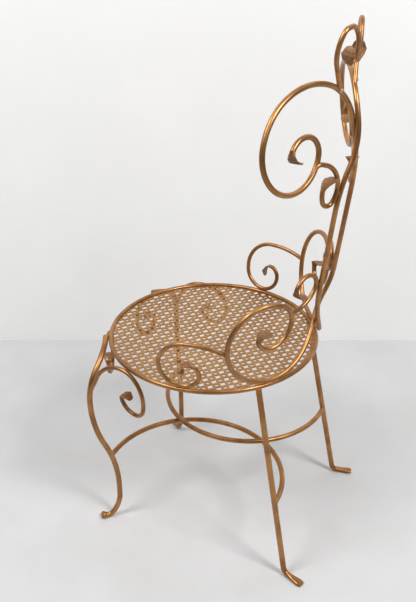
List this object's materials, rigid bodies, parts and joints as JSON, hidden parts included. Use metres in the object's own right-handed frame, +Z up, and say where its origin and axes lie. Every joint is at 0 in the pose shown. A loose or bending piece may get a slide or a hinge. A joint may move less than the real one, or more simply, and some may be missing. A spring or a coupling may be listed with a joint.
{
  "type": "wrought-iron side chair",
  "caption": "Wrought-iron side chair with a round perforated seat, scrolled wing back and arms, scrolled front legs and bowed stretchers.",
  "frame": {"origin": "on the floor under the middle of the chair's overall width and length", "axes": "+Z up, the sitter faces -Y, +X to the sitter's left"},
  "size_m": [0.4438, 0.4695, 1.009],
  "materials": {
    "iron": "satin copper-bronze paint on bent iron rod",
    "seat_sheet": "satin copper-bronze paint on pierced sheet"
  },
  "bodies": {
    "root": {"arm_front_left": "iron", "arm_front_right": "iron", "arm_left": "iron", "arm_link_left": "iron", "arm_link_right": "iron", "arm_right": "iron", "front_bracket_left": "iron", "front_bracket_right": "iron", "front_leg_left": "iron", "front_leg_right": "iron", "rear_leg_left": "iron", "rear_leg_right": "iron", "seat_plate": "seat_sheet", "seat_ring": "iron", "side_bracket_left": "iron", "side_bracket_right": "iron", "stile_left": "iron", "stile_right": "iron", "stretcher_left": "iron", "stretcher_right": "iron", "top_loop_left": "iron", "top_loop_right": "iron", "wing_left": "iron", "wing_link_left": "iron", "wing_link_right": "iron", "wing_right": "iron"}
  },
  "joints": []
}
